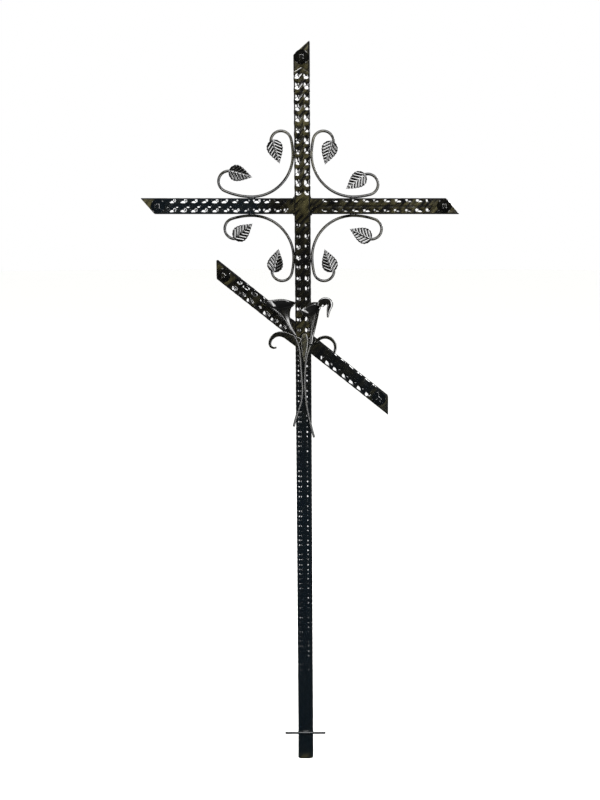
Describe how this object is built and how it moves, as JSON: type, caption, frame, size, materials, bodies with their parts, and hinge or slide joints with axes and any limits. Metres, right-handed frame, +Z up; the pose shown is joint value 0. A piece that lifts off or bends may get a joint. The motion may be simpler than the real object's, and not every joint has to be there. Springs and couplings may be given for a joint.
{
  "type": "wrought iron grave cross",
  "caption": "Grave cross of patterned square tube with a slanting footrest, pyramid studs, leafy C-scrolls and forged lilies, painted black with rubbed gold.",
  "frame": {"origin": "middle of the flat end face of the post's foot", "axes": "+Z up along the post, the cross lies in the XZ plane, -Y is the front with the studs and flowers, +X is the viewer's right"},
  "size_m": [0.807, 0.0691, 1.895],
  "materials": {
    "rolled_tube": "semi-gloss black paint over rolled relief, rubbed with dull olive gold",
    "gloss_black": "gloss black enamel",
    "round_rod": "semi-gloss black paint with a faint olive rub",
    "forged_sheet": "semi-gloss black paint, olive gold rubbed on veins and edges"
  },
  "bodies": {
    "root": {"post": "rolled_tube", "crossbar_left": "rolled_tube", "crossbar_right": "rolled_tube", "footrest_upper": "rolled_tube", "footrest_lower": "rolled_tube", "stud_top": "gloss_black", "stud_left": "gloss_black", "stud_right": "gloss_black", "stud_upper": "gloss_black", "stud_lower": "gloss_black", "scroll_ul": "round_rod", "scroll_ur": "round_rod", "scroll_ll": "round_rod", "scroll_lr": "round_rod", "leaf_ul_post": "forged_sheet", "leaf_ul_arm": "forged_sheet", "leaf_ur_post": "forged_sheet", "leaf_ur_arm": "forged_sheet", "leaf_ll_post": "forged_sheet", "leaf_ll_arm": "forged_sheet", "leaf_lr_post": "forged_sheet", "leaf_lr_arm": "forged_sheet", "calla_left": "forged_sheet", "calla_right": "forged_sheet", "stem_left": "round_rod", "stem_right": "round_rod", "bract": "forged_sheet", "curl_left": "forged_sheet", "curl_right": "forged_sheet", "ground_rod": "round_rod"}
  },
  "joints": []
}
